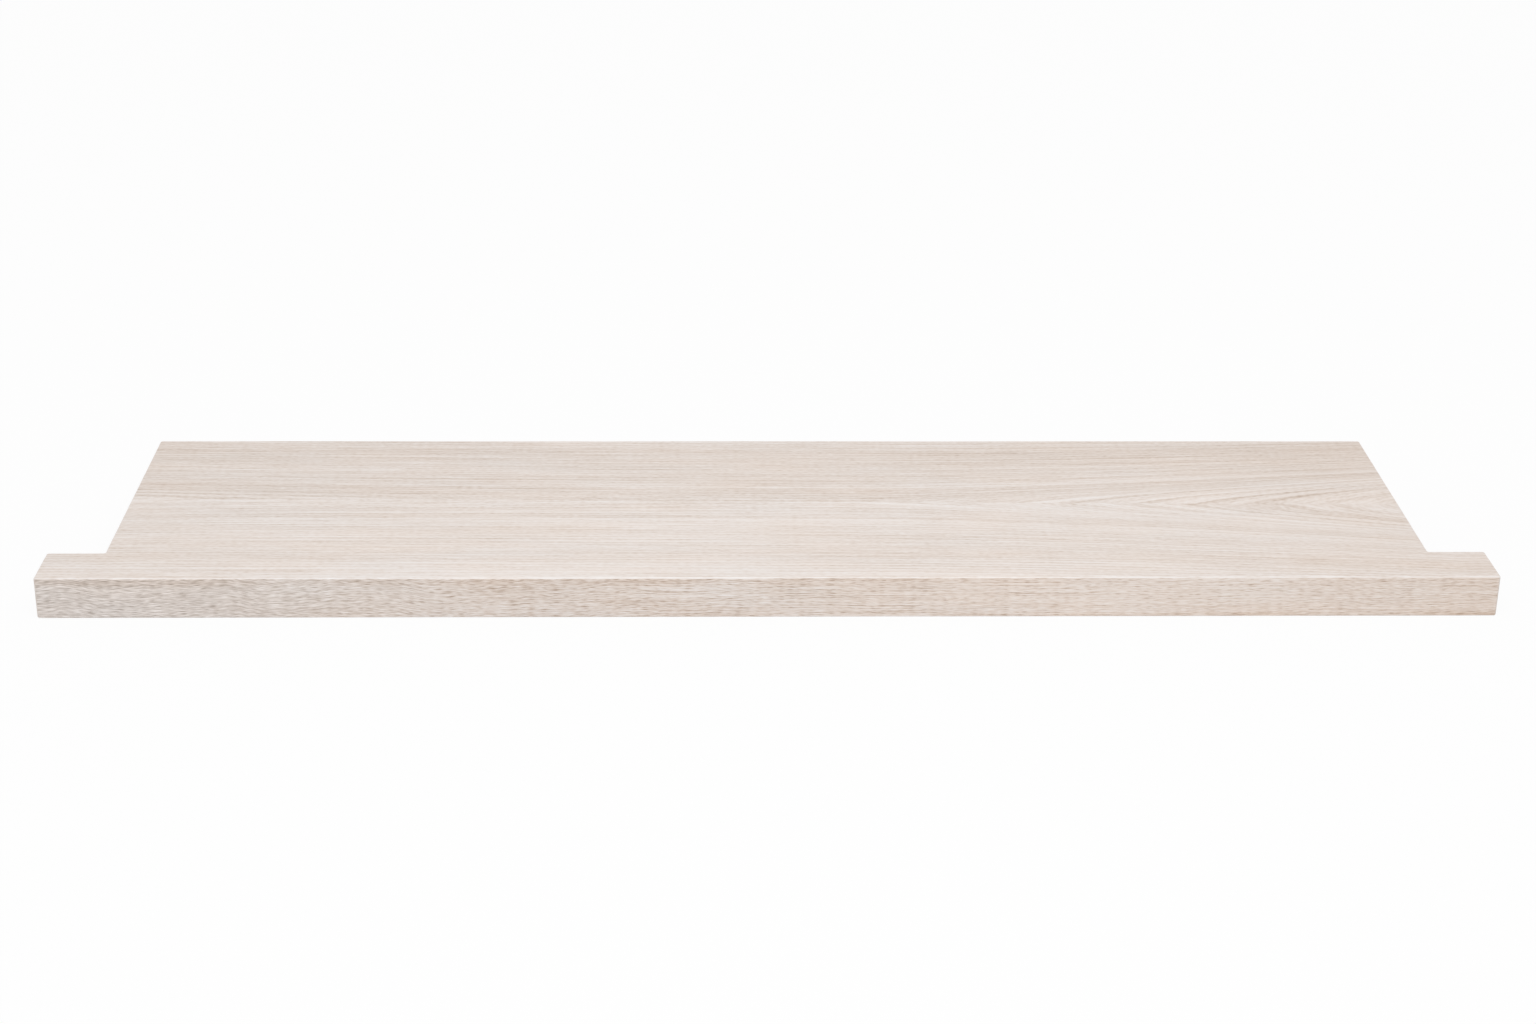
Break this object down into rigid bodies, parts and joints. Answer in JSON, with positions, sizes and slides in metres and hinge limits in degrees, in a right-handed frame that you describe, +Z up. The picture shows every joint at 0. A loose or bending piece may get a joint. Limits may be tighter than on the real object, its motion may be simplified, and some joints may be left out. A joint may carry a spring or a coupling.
{
  "type": "window sill board",
  "caption": "Flat limed-oak window sill board with a square nosing that runs past the body as a horn at each end and eased edges; it lies between the reveals under a window.",
  "frame": {"origin": "on the underside, at the middle of the overall length and depth", "axes": "+X along the board, +Y from the nosing to the window, +Z up through the top"},
  "size_m": [1, 0.25, 0.03],
  "materials": {
    "limed_oak": "limed oak, matt lacquer, open pores"
  },
  "bodies": {
    "root": {"sill_board": "limed_oak"}
  },
  "joints": []
}
